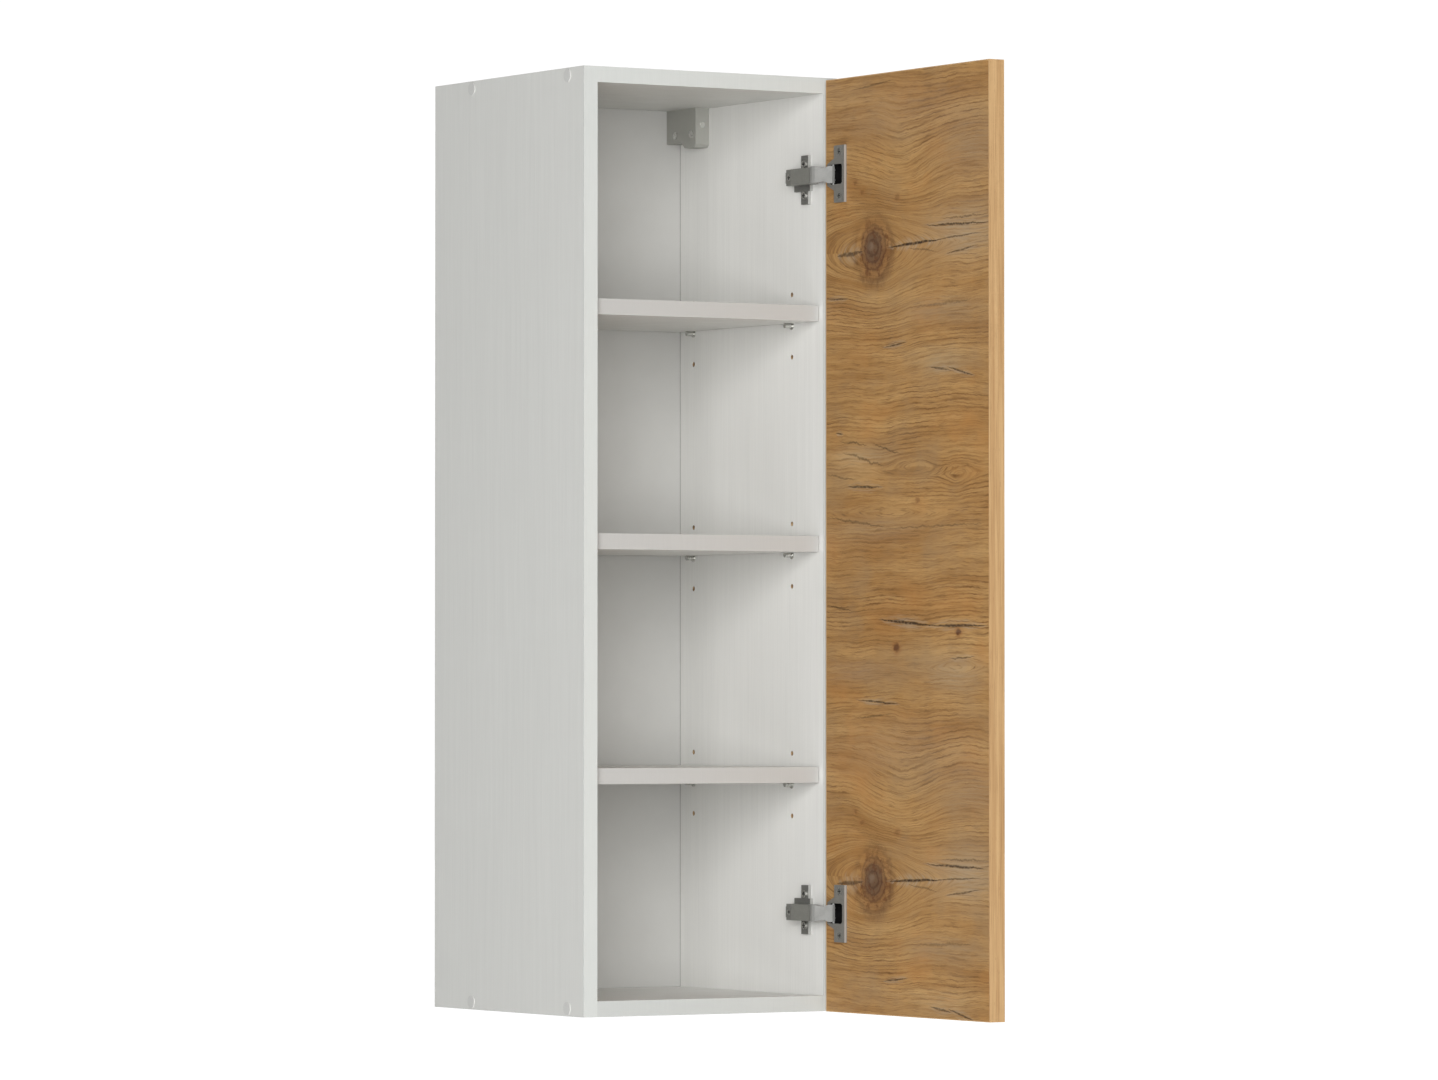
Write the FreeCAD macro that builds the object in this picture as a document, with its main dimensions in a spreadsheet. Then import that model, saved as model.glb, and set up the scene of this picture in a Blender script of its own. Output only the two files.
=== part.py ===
"""Hanging wall cabinet: a board carcass with three loose shelves and one door on two concealed hinges.

Frame: +Z up, +X to the right seen from the front, the wall is the plane Y = 0 and the front faces -Y.
The origin is the middle of the rear bottom edge. The door stands open at a right angle.
"""
import FreeCAD, Part
import os
import Sketcher
from FreeCAD import Placement, Rotation, Vector

doc = FreeCAD.newDocument("wall_cabinet")

# ---------------------------------------------------------------- driving dimensions, mm and degrees
SIZES = {
    # carcass
    "width": 300, "depth": 300, "height": 950, "board": 16, "band": 1,
    "back_board": 3, "back_recess": 18, "groove_depth": 8, "groove_play": 0.2,
    # door
    "door_board": 18, "door_gap": 2, "door_reveal": 1.5, "top_reveal": 3,
    # shelves and their pins
    "shelf_base": 232, "shelf_pitch": 235, "shelf_setback": 8, "shelf_play": 1, "shelf_seat": 0.1,
    "row_front": 60, "row_pitch": 192, "hole_step": 32, "hole_radius": 2.5, "hole_depth": 11,
    "peg_play": 0.05, "peg_length": 9, "pin_reach": 9, "collar_radius": 4, "collar_thickness": 0.8,
    # carcass joints: one-piece connectors under caps, with dowels between them
    "joint_front": 32, "joint_pitch": 192, "dowel_front": 64, "dowel_pitch": 128,
    "screw_length": 50, "screw_radius": 2.4, "neck_radius": 3.5, "neck_length": 14, "head_radius": 5,
    "head_height": 3, "cap_radius": 6.5, "cap_thickness": 0.8, "dowel_radius": 4,
    "dowel_length": 30, "dowel_in_side": 10,
    # hinges: centre height from the cabinet's end, plate, arm and pivots
    "hinge_end": 100, "plate_shift": 2.5, "plate_front": 23.6, "wing_width": 13.3, "wing_height": 50,
    "wing_thickness": 3.5, "base_front": 20, "base_length": 30, "base_height": 23,
    "ridge_width": 11, "plate_screw_pitch": 32, "plate_screw_front": 29, "plate_screw_radius": 2.4,
    "plate_screw_head": 4, "plate_screw_length": 15,
    "arm_standoff": 15.2, "arm_width": 16.5, "arm_sheet": 1.3, "arm_rear": 47, "arm_nose": 7,
    "cover_thickness": 0.9, "cover_rear": 37, "cover_front": 1,
    "pivot_inset": 13.5, "pivot_forward": 4, "rear_pivot_inset": 9, "rear_pivot_back": 5.5,
    "inner_link_length": 12, "inner_link_radius": 1.6, "inner_link_lean": 18,
    "link_swing": 29.9, "link_width": 11.8, "link_sheet": 1.6, "eye_radius": 2.6,
    "rivet_radius": 1.25, "running_play": 0.05,
    "pivot_edge": 8.84, "pivot_depth": 3.14,
    "hood_clearance": 1.7, "hood_sheet": 1.2, "hood_width": 17.5, "hood_waist": 13.6, "waist_place": -11,
    "cup_edge": 21.5, "cup_radius": 17.4, "cup_wall": 0.9, "cup_depth": 12.3, "bore_play": 0.1,
    "nose_base": 35, "nose_tip": 22, "nose_thickness": 1.2, "mouth_start": 5.6, "mouth_end": 34.5,
    "mouth_height": 20.5, "mouth_corner": 2, "flange_edge": 19.5, "flange_width": 19.2,
    "flange_height": 58, "flange_thickness": 3, "cup_screw_edge": 29, "cup_screw_pitch": 45,
    "cup_screw_radius": 1.8, "cup_screw_head": 3.6, "cup_screw_length": 15,
    "adjuster_front": 26, "adjuster_pitch": 16, "adjuster_head": 3.2, "adjuster_shank": 1.8,
    "adjuster_length": 7,
    # hangers in the top corners
    "hanger_width": 16.6, "hanger_depth": 57.7, "hanger_height": 35, "hanger_wall": 1.6,
    "boss_depth": 28, "boss_drop": 6, "hook_sheet": 2.5, "hook_bar": 12, "hook_lip": 18,
    "hook_gap": 3, "notch_play": 3, "adjuster_radius": 3.2, "hanger_screw_radius": 2,
    "hanger_screw_length": 13, "hanger_screw_pitch": 32, "hanger_screw_front": 8,
}

# values that follow from the driving ones
DERIVED = {
    "half": "dim.width / 2",
    "inner": "dim.width / 2 - dim.board",
    "front": "-dim.depth",
    "back_front": "-(dim.back_recess + dim.back_board)",
    "door_width": "dim.width - 2 * dim.door_reveal",
    "door_height": "dim.height - dim.top_reveal",
    "shelf_width": "dim.width - 2 * dim.board - 2 * dim.shelf_play",
    "first_hole": "dim.shelf_base - dim.hole_radius + dim.peg_play - dim.hole_step",
    "pivot_x": "dim.width / 2 - dim.board - dim.pivot_inset",
    "hood_x": "dim.arm_standoff - dim.pivot_inset + dim.hood_clearance",
    "link_x": "dim.board + dim.pivot_inset - dim.door_reveal - dim.pivot_edge",
    "link_y": "dim.pivot_forward - dim.door_gap - dim.pivot_depth",
    "swing_x": "own.link_x * cos(dim.link_swing * 1 deg) + own.link_y * sin(dim.link_swing * 1 deg)",
    "swing_y": "own.link_y * cos(dim.link_swing * 1 deg) - own.link_x * sin(dim.link_swing * 1 deg)",
    "door_x": "own.pivot_x + own.swing_x - dim.pivot_depth",
    "door_y": "own.front - dim.pivot_forward + own.swing_y + dim.pivot_edge",
}


def make_sheet(name, cells):
    """A sheet with one aliased cell for each value."""
    table = doc.addObject("Spreadsheet::Sheet", name)
    for row, (alias, content) in enumerate(cells.items(), start=1):
        table.set(f"A{row}", alias)
        table.set(f"B{row}", str(content))
        table.setAlias(f"B{row}", alias)
    doc.recompute()
    return table


dim = make_sheet("dim", SIZES)
own = make_sheet("own", {alias: "=" + text.replace("own.", "") for alias, text in DERIVED.items()})

NODES = {}


def value(expression):
    """The number that an expression over the sheets gives now."""
    return float(dim.evalExpression(str(expression)))


def bind(item, **expressions):
    for name, expression in expressions.items():
        item.setExpression(name, str(expression))
    return item


def place(item, x=0, y=0, z=0):
    for axis, expression in zip("xyz", (x, y, z)):
        item.setExpression("Placement.Base." + axis, str(expression))
    return item


def node(item, label):
    item.Label = label
    NODES[label] = item
    return item


# ---------------------------------------------------------------- plain solids and booleans
TURNS = {
    "+x": Rotation(Vector(0, 1, 0), 90), "-x": Rotation(Vector(0, 1, 0), -90),
    "+y": Rotation(Vector(1, 0, 0), -90), "-y": Rotation(Vector(1, 0, 0), 90),
    "+z": Rotation(), "-z": Rotation(Vector(1, 0, 0), 180),
}


def block(x, y, z, length, width, height):
    """A box from its low corner."""
    item = bind(doc.addObject("Part::Box", "block"), Length=length, Width=width, Height=height)
    return place(item, x, y, z)


def rod(x, y, z, towards, radius, length):
    item = doc.addObject("Part::Cylinder", "rod")
    item.Placement = Placement(Vector(), TURNS[towards])
    bind(item, Radius=radius, Height=length)
    return place(item, x, y, z)


def fuse(*items):
    item = doc.addObject("Part::MultiFuse", "fused")
    item.Shapes = list(items)
    item.Refine = True
    return item


def cut(base, *tools):
    item = doc.addObject("Part::Cut", "cut")
    item.Base = base
    item.Tool = tools[0] if len(tools) == 1 else fuse(*tools)
    return item


def group(*items):
    """Separate solids that share one node."""
    item = doc.addObject("Part::Compound", "group")
    item.Links = list(items)
    return item


# ---------------------------------------------------------------- bodies made from sketches
class Board:
    """A body cut from sheet or board: padded outlines, then pockets, on its own origin planes."""

    def __init__(self, label):
        self.body = node(doc.addObject("PartDesign::Body", label), label)
        self.planes = {f.Role: f for f in self.body.Origin.OriginFeatures}

    def sketch(self, plane, lift=0):
        item = self.body.newObject("Sketcher::SketchObject", "outline")
        item.AttachmentSupport = (self.planes[plane + "_Plane"], [""])
        item.MapMode = "FlatFace"
        item.setExpression("AttachmentOffset.Base.z", str(lift))
        return item

    def polygon(self, sketch, corners):
        """Straight edges through corners given as pairs of expressions."""
        points = [Vector(value(a), value(b), 0) for a, b in corners]
        first = sketch.GeometryCount
        count = len(points)
        for i, point in enumerate(points):
            sketch.addGeometry(Part.LineSegment(point, points[(i + 1) % count]), False)
        for i, corner in enumerate(corners):
            edge, following = first + i, first + (i + 1) % count
            sketch.addConstraint(Sketcher.Constraint("Coincident", edge, 2, following, 1))
            self._pin(sketch, edge, 1, corner)

    def rectangle(self, sketch, low, high):
        self.polygon(sketch, [low, (high[0], low[1]), high, (low[0], high[1])])

    def circle(self, sketch, centre, radius):
        middle = Vector(value(centre[0]), value(centre[1]), 0)
        edge = sketch.addGeometry(Part.Circle(middle, Vector(0, 0, 1), value(radius)), False)
        self._pin(sketch, edge, 3, centre)
        index = sketch.addConstraint(Sketcher.Constraint("Radius", edge, value(radius)))
        sketch.setExpression(f"Constraints[{index}]", str(radius))

    @staticmethod
    def _pin(sketch, edge, point, place_at):
        for kind, expression in zip(("DistanceX", "DistanceY"), place_at):
            index = sketch.addConstraint(
                Sketcher.Constraint(kind, -1, 1, edge, point, value(expression)))
            sketch.setExpression(f"Constraints[{index}]", str(expression))

    def pad(self, sketch, length, reverse=False):
        item = self.body.newObject("PartDesign::Pad", "pad")
        item.Profile = sketch
        item.Reversed = reverse
        bind(item, Length=length)
        return item

    def pocket(self, sketch, length, reverse=False):
        """Cuts length deep and stops the build if nothing was cut."""
        doc.recompute()
        before = self.body.Shape.Volume
        item = self.body.newObject("PartDesign::Pocket", "pocket")
        item.Profile = sketch
        item.Reversed = reverse
        bind(item, Length=length)
        doc.recompute()
        if self.body.Shape.Volume >= before:
            raise RuntimeError(f"{self.body.Label}: a pocket cut nothing")
        return item

    def repeat(self, feature, sketch, axis, length, count):
        """A row of copies of one feature along a sketch axis."""
        item = self.body.newObject("PartDesign::LinearPattern", "row")
        item.Originals = [feature]
        item.Direction = (sketch, [axis])
        item.Occurrences = count
        bind(item, Length=length)
        self.body.Tip = item
        return item


def drill(board, plane, lift, centres, radius, depth, reverse=False):
    """Round holes of one size, all from one face."""
    sketch = board.sketch(plane, lift)
    for centre in centres:
        board.circle(sketch, centre, radius)
    return sketch, board.pocket(sketch, depth, reverse)


# ---------------------------------------------------------------- places that several pieces share
PIN_ROWS = ["own.front + dim.row_front", "own.front + dim.row_front + dim.row_pitch"]
SCREW_ROWS = ["own.front + dim.joint_front", "own.front + dim.joint_front + dim.joint_pitch"]
DOWEL_ROWS = ["own.front + dim.dowel_front", "own.front + dim.dowel_front + dim.dowel_pitch"]
END_HEIGHTS = ["dim.board / 2", "dim.height - dim.board / 2"]
GROOVE = ("own.back_front - dim.groove_play / 2", "-dim.back_recess + dim.groove_play / 2")
# each hinge: its height, and which way along Z the cabinet's middle lies
HINGES = {"lower": ("dim.hinge_end", 1), "upper": ("dim.height - dim.hinge_end", -1)}
PLATE_SCREW_ROW = "own.front + dim.plate_screw_front"
HANGER_SCREW_ROWS = [
    "own.back_front - dim.hanger_depth + dim.hanger_screw_front",
    "own.back_front - dim.hanger_depth + dim.hanger_screw_front + dim.hanger_screw_pitch",
]
HANGER_SCREW_HEIGHT = "dim.height - dim.board - dim.hanger_height + dim.hanger_screw_front"
PLATE_SCREW_GRIP = "dim.plate_screw_length - dim.wing_thickness"
ADJUSTERS = ("dim.adjuster_front", "dim.adjuster_front + dim.adjuster_pitch")
CUP_SCREW_GRIP = "dim.cup_screw_length - dim.flange_thickness"
END_SLACK = 0.5


def plate_height(hinge):
    height, inward = HINGES[hinge]
    return f"{height} + {inward} * dim.plate_shift"


# ---------------------------------------------------------------- carcass
def side_panel(label, position, inner_face, outer_face, inward):
    """One side: pin holes, back groove, connector and fitting holes. inward is the inner face's X sign."""
    board = Board(label)
    outline = board.sketch("YZ")
    board.rectangle(outline, ("own.front + dim.band", 0), (0, "dim.height"))
    board.pad(outline, "dim.board")
    from_inside = inward < 0
    step = [f"own.first_hole + {i} * dim.hole_step" for i in range(3)]
    sketch, holes = drill(board, "YZ", inner_face, [(y, z) for y in PIN_ROWS for z in step],
                          "dim.hole_radius", "dim.hole_depth", from_inside)
    board.repeat(holes, sketch, "V_Axis", "2 * dim.shelf_pitch", 3)
    groove = board.sketch("YZ", inner_face)
    board.rectangle(groove, (GROOVE[0], 0), (GROOVE[1], "dim.height"))
    board.pocket(groove, "dim.groove_depth", from_inside)
    ends = [(y, z) for y in SCREW_ROWS for z in END_HEIGHTS]
    drill(board, "YZ", inner_face, ends, "dim.neck_radius", "dim.board", from_inside)
    drill(board, "YZ", outer_face, ends, "dim.head_radius", "dim.head_height", not from_inside)
    drill(board, "YZ", inner_face, [(y, z) for y in DOWEL_ROWS for z in END_HEIGHTS],
          "dim.dowel_radius", "dim.dowel_in_side", from_inside)
    drill(board, "YZ", inner_face, [(y, HANGER_SCREW_HEIGHT) for y in HANGER_SCREW_ROWS],
          "dim.hanger_screw_radius", "dim.hanger_screw_length", from_inside)
    if from_inside:
        plate_holes = [(PLATE_SCREW_ROW, f"{plate_height(hinge)} + {side} * dim.plate_screw_pitch / 2")
                       for hinge in HINGES for side in (-1, 1)]
        drill(board, "YZ", inner_face, plate_holes, "dim.plate_screw_radius",
              f"{PLATE_SCREW_GRIP} + {END_SLACK}", True)
    place(board.body, position)


def end_panel(label, position, inner_face, upward):
    """Bottom or top: grooved on its inner face, drilled in both ends. upward: inner face looks up."""
    board = Board(label)
    outline = board.sketch("XY")
    board.rectangle(outline, ("-own.inner", "own.front + dim.band"), ("own.inner", 0))
    board.pad(outline, "dim.board")
    groove = board.sketch("XY", inner_face)
    board.rectangle(groove, ("-own.inner", GROOVE[0]), ("own.inner", GROOVE[1]))
    board.pocket(groove, "dim.groove_depth", not upward)
    for lift, reverse in (("own.inner", False), ("-own.inner", True)):
        drill(board, "YZ", lift, [(y, "dim.board / 2") for y in SCREW_ROWS], "dim.screw_radius",
              f"dim.screw_length - dim.board + {END_SLACK}", reverse)
        drill(board, "YZ", lift, [(y, "dim.board / 2") for y in DOWEL_ROWS], "dim.dowel_radius",
              "dim.dowel_length - dim.dowel_in_side", reverse)
    place(board.body, z=position)


def back_panel():
    """Thin board in the grooves, cut away at the top corners where the hanger hooks pass."""
    board = Board("back_panel")
    side = f"own.inner + dim.groove_depth - {END_SLACK}"
    low = f"dim.board - dim.groove_depth + {END_SLACK}"
    high = f"dim.height - dim.board + dim.groove_depth - {END_SLACK}"
    notch_side = "own.inner - dim.hanger_width + dim.hanger_wall"
    notch_low = "dim.height - dim.board - dim.hanger_height + dim.hanger_wall"
    outline = board.sketch("XZ")
    board.polygon(outline, [
        (f"-({side})", low), (side, low), (side, notch_low), (notch_side, notch_low),
        (notch_side, high), (f"-({notch_side})", high), (f"-({notch_side})", notch_low),
        (f"-({side})", notch_low)])
    board.pad(outline, "dim.back_board")
    place(board.body, y="-dim.back_recess")


side_panel("left_side_panel", "-own.half", "dim.board", 0, 1)
side_panel("right_side_panel", "own.inner", 0, "dim.board", -1)
end_panel("bottom_panel", 0, "dim.board", True)
end_panel("top_panel", "dim.height - dim.board", 0, False)
back_panel()

for label, x, z, length, height in (
        ("left_side_edge_band", "-own.half", 0, "dim.board", "dim.height"),
        ("right_side_edge_band", "own.inner", 0, "dim.board", "dim.height"),
        ("bottom_edge_band", "-own.inner", 0, "2 * own.inner", "dim.board"),
        ("top_edge_band", "-own.inner", "dim.height - dim.board", "2 * own.inner", "dim.board")):
    node(block(x, "own.front", z, length, "dim.band", height), label)


# ---------------------------------------------------------------- connectors, caps, dowels, shelf pins
def connector(side, y, z):
    """Head in the side's outer face, neck through the side, shank in the end of the other board."""
    x, towards = (f"{side} * own.half", "-x" if side > 0 else "+x")
    return fuse(rod(x, y, z, towards, "dim.head_radius", "dim.head_height"),
                rod(x, y, z, towards, "dim.neck_radius", "dim.neck_length"),
                rod(x, y, z, towards, "dim.screw_radius", "dim.screw_length"))


def shelf_pin(side, y, z):
    """Peg in its hole, collar against the side, and the round stub that the shelf lies on."""
    x, outward, inward = (f"{side} * own.inner", *(("+x", "-x") if side > 0 else ("-x", "+x")))
    peg_radius = "dim.hole_radius - dim.peg_play"
    return fuse(rod(x, y, z, outward, peg_radius, "dim.peg_length"),
                rod(x, y, z, inward, "dim.collar_radius", "dim.collar_thickness"),
                rod(x, y, z, inward, peg_radius, "dim.pin_reach"))


BOTH = (-1, 1)
joints = [(side, y, z) for side in BOTH for y in SCREW_ROWS for z in END_HEIGHTS]
node(group(*(connector(*spot) for spot in joints)), "carcass_screws")
node(group(*(rod(f"{side} * own.half", y, z, "+x" if side > 0 else "-x", "dim.cap_radius",
                 "dim.cap_thickness") for side, y, z in joints)), "screw_caps")
node(group(*(rod(f"{side} * (own.inner + dim.dowel_in_side)", y, z, "-x" if side > 0 else "+x",
                 "dim.dowel_radius", "dim.dowel_length")
             for side in BOTH for y in DOWEL_ROWS for z in END_HEIGHTS)), "wooden_dowels")
node(group(*(shelf_pin(side, y, f"own.first_hole + dim.hole_step + {level} * dim.shelf_pitch")
             for level in range(3) for side in BOTH for y in PIN_ROWS)), "shelf_pins")

# ---------------------------------------------------------------- shelves
for level, name in enumerate(("lower", "middle", "upper")):
    shelf = Board(f"{name}_shelf")
    outline = shelf.sketch("XY")
    front_edge = "own.front + dim.shelf_setback"
    shelf.rectangle(outline, ("-own.shelf_width / 2", f"{front_edge} + dim.band"),
                    ("own.shelf_width / 2", "own.back_front - 2 * dim.shelf_play"))
    shelf.pad(outline, "dim.board")
    underside = f"dim.shelf_base + dim.shelf_seat + {level} * dim.shelf_pitch"
    place(shelf.body, z=underside)
    node(block("-own.shelf_width / 2", front_edge, underside, "own.shelf_width", "dim.band", "dim.board"),
         f"{name}_shelf_edge_band")

# ---------------------------------------------------------------- door, open at a right angle
# its own frame: X from the inner face outwards, Y = 0 at the hinged edge, Z = 0 at the bottom
door = Board("door_panel")
outline = door.sketch("YZ")
door.rectangle(outline, ("dim.band - own.door_width", "dim.band"),
               ("-dim.band", "own.door_height - dim.band"))
door.pad(outline, "dim.door_board")
drill(door, "YZ", 0, [("-dim.cup_edge", height) for height, _ in HINGES.values()],
      "dim.cup_radius + dim.bore_play", "dim.cup_depth + dim.bore_play", True)
drill(door, "YZ", 0, [("-dim.cup_screw_edge", f"{height} + {side} * dim.cup_screw_pitch / 2")
                      for height, _ in HINGES.values() for side in BOTH],
      "dim.cup_screw_radius", f"{CUP_SCREW_GRIP} + {END_SLACK}", True)
place(door.body, "own.door_x", "own.door_y")

for label, y, z, width, height in (
        ("door_hinged_edge_band", "-dim.band", 0, "dim.band", "own.door_height"),
        ("door_free_edge_band", "-own.door_width", 0, "dim.band", "own.door_height"),
        ("door_bottom_edge_band", "dim.band - own.door_width", 0, "own.door_width - 2 * dim.band",
         "dim.band"),
        ("door_top_edge_band", "dim.band - own.door_width", "own.door_height - dim.band",
         "own.door_width - 2 * dim.band", "dim.band")):
    node(block("own.door_x", f"own.door_y + {y}", z, "dim.door_board", width, height), label)


# ---------------------------------------------------------------- concealed hinges
# on the carcass X is measured from the side's inner face and Y from the front edge; pivots stand along Z
def at_wall(board, z):
    place(board.body, "own.inner", "own.front", z)


def mounting_plate(prefix, z, arm_z):
    """Cross-shaped plate on the side with the ridge that the arm clips over, arm_z from its middle."""
    board = Board(f"{prefix}_hinge_plate")
    wing, base = "dim.wing_height / 2", "dim.base_height / 2"
    start, end = "dim.plate_front", "dim.plate_front + dim.wing_width"
    near, far = "dim.base_front", "dim.base_front + dim.base_length"
    outline = board.sketch("YZ")
    board.polygon(outline, [
        (near, f"-{base}"), (start, f"-{base}"), (start, f"-{wing}"), (end, f"-{wing}"),
        (end, f"-{base}"), (far, f"-{base}"), (far, base), (end, base), (end, wing), (start, wing),
        (start, base), (near, base)])
    board.pad(outline, "dim.wing_thickness", True)
    ridge = board.sketch("YZ", "-dim.wing_thickness")
    board.rectangle(ridge, (near, f"{arm_z} - dim.ridge_width / 2"), (far, f"{arm_z} + dim.ridge_width / 2"))
    board.pad(ridge, "dim.arm_standoff - dim.arm_sheet - dim.wing_thickness", True)
    drill(board, "YZ", 0, [("dim.plate_screw_front", f"{side} * dim.plate_screw_pitch / 2")
                           for side in BOTH], "dim.plate_screw_radius", "dim.wing_thickness")
    drill(board, "YZ", "dim.arm_sheet - dim.arm_standoff", [(y, arm_z) for y in ADJUSTERS],
          "dim.adjuster_shank", "dim.adjuster_length", True)
    at_wall(board, z)


def hinge_arm(prefix, z):
    """Channel over the ridge; its cheeks run on past the front edge and hold both pivots."""
    board = Board(f"{prefix}_hinge_arm")
    web, foot = "-dim.arm_standoff", "-dim.wing_thickness"
    nose, lug = "-dim.arm_nose", "dim.pivot_inset + dim.eye_radius"
    outline = board.sketch("XY", "-dim.arm_width / 2")
    board.polygon(outline, [
        (web, "dim.arm_rear"), (web, "dim.cover_front"), (f"-({lug})", "-dim.pivot_forward / 2"),
        (f"-({lug})", "-dim.pivot_forward - dim.rivet_radius"), (web, nose),
        ("-(dim.pivot_inset - dim.eye_radius)", nose), ("-dim.rear_pivot_inset + dim.eye_radius", 0),
        (foot, "dim.rear_pivot_back + dim.eye_radius"), (foot, "dim.arm_rear")])
    board.pad(outline, "dim.arm_width")
    channel = board.sketch("XY", "dim.arm_width / 2 - dim.arm_sheet")
    inner_web, clear = f"{web} + dim.arm_sheet", f"-({lug}) - dim.eye_radius"
    board.polygon(channel, [
        (inner_web, "dim.arm_rear + dim.eye_radius"), (inner_web, "dim.cover_front"),
        (clear, "dim.cover_front"), (clear, f"{nose} - dim.eye_radius"),
        ("dim.eye_radius", f"{nose} - dim.eye_radius"),
        ("dim.eye_radius", "dim.arm_rear + dim.eye_radius")])
    board.pocket(channel, "dim.arm_width - 2 * dim.arm_sheet")
    drill(board, "XY", "dim.arm_width / 2",
          [("-dim.pivot_inset", "-dim.pivot_forward"), ("-dim.rear_pivot_inset", "dim.rear_pivot_back")],
          "dim.rivet_radius", "dim.arm_width")
    drill(board, "YZ", web, [(y, 0) for y in ADJUSTERS], "dim.adjuster_head", "dim.arm_sheet", True)
    at_wall(board, z)


def outer_link(prefix, z):
    """Channel-shaped gooseneck from the arm's front pivot, round the mouth of the cup, to the cup's pivot."""
    board = Board(f"{prefix}_hinge_outer_link")
    eye, heel_x, heel_y = "dim.eye_radius", "own.swing_x - 5", "own.swing_y - 6"
    outline = board.sketch("XY", "-dim.link_width / 2")
    board.polygon(outline, [
        (f"-{eye}", "0.2"), (f"-{eye} * 0.6", f"-{eye}"), (heel_x, heel_y),
        ("own.swing_x - 2", "own.swing_y - 5.8"), (f"own.swing_x + {eye}", "own.swing_y - 0.5"),
        (f"own.swing_x + {eye} * 0.6", f"own.swing_y + {eye} * 0.9"),
        (f"own.swing_x - {eye} * 0.4", f"own.swing_y + {eye} * 0.9"),
        ("own.swing_x - 4.6", "own.swing_y - 2.4"), (f"{eye} * 0.9", f"-{eye} * 0.4"),
        (f"{eye} * 0.6", f"{eye} * 0.8"), (f"-{eye} * 0.6", f"{eye} * 0.8")])
    board.pad(outline, "dim.link_width")
    channel = board.sketch("XY", "dim.link_width / 2 - dim.link_sheet")
    board.polygon(channel, [
        (f"-2 * {eye}", f"2 * {eye}"), (f"-2 * {eye}", f"-2 * {eye}"), (0, f"-2 * {eye}"),
        (f"{eye} * 0.65", f"-{eye} * 1.45"), (f"{heel_x} + 1.3", f"{heel_y} + 0.8"),
        ("own.swing_x - 2.6", f"{heel_y} - 2"), ("own.swing_x + 5", f"{heel_y} - 2"),
        ("own.swing_x + 5", f"2 * {eye}")])
    board.pocket(channel, "dim.link_width - 2 * dim.link_sheet")
    hood = board.sketch("XY", "-dim.hood_width / 2")
    board.polygon(hood, [
        ("-own.hood_x - dim.hood_sheet", 0.8), ("0.2 - own.hood_x - dim.hood_sheet", -2.2),
        ("1.7 - own.hood_x - dim.hood_sheet", -5.2), (heel_x, heel_y),
        ("own.swing_x - 2", "own.swing_y - 5.8"),
        ("own.swing_x - 3", f"{heel_y} + 1.9"), (f"{heel_x} + 0.5", f"{heel_y} + 1.6"),
        ("1.8 - own.hood_x", -4.2), ("0.1 - own.hood_x", -1.9), ("-own.hood_x", 0.8)])
    board.pad(hood, "dim.hood_width")
    waist = board.sketch("YZ", f"-2 * {eye}")
    for side in BOTH:
        board.polygon(waist, [("0", f"{side} * (dim.hood_width / 2 + 1)"),
                              ("dim.waist_place", f"{side} * dim.hood_waist / 2"),
                              ("1.4 * dim.waist_place", f"{side} * (dim.hood_width / 2 + 1)")])
    board.pocket(waist, f"10 * {eye}", True)
    drill(board, "XY", "dim.link_width / 2", [(0, 0), ("own.swing_x", "own.swing_y")],
          "dim.rivet_radius + dim.running_play", "dim.link_width")
    place(board.body, "own.pivot_x", "own.front - dim.pivot_forward", z)


def inner_link(prefix, z):
    """Short link on the arm's rear pivot; it ends short of the cup, inside the outer link's channel."""
    width = "dim.link_width - 2 * dim.link_sheet - 1"
    low = f"{z} - ({width}) / 2"
    x, y = "own.inner - dim.rear_pivot_inset", "own.front + dim.rear_pivot_back"
    lean_x, lean_y = "sin(dim.inner_link_lean * 1 deg)", "cos(dim.inner_link_lean * 1 deg)"
    length, radius = "dim.inner_link_length", "dim.inner_link_radius"
    bar = doc.addObject("Part::Box", "bar")
    bar.Placement = Placement(Vector(), Rotation(Vector(0, 0, 1), value("dim.inner_link_lean")))
    bar.setExpression("Placement.Rotation.Angle", "dim.inner_link_lean * 1 deg")
    bind(bar, Length=f"2 * {radius}", Width=length, Height=width)
    place(bar, f"{x} + {length} * {lean_x} - {radius} * {lean_y}",
          f"{y} - {length} * {lean_y} - {radius} * {lean_x}", low)
    solid = fuse(bar, rod(x, y, low, "+z", "dim.eye_radius", width),
                 rod(f"{x} + {length} * {lean_x}", f"{y} - {length} * {lean_y}", low, "+z", radius, width))
    bore = rod(x, y, low, "+z", "dim.rivet_radius + dim.running_play", width)
    node(cut(solid, bore), f"{prefix}_hinge_inner_link")


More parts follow.
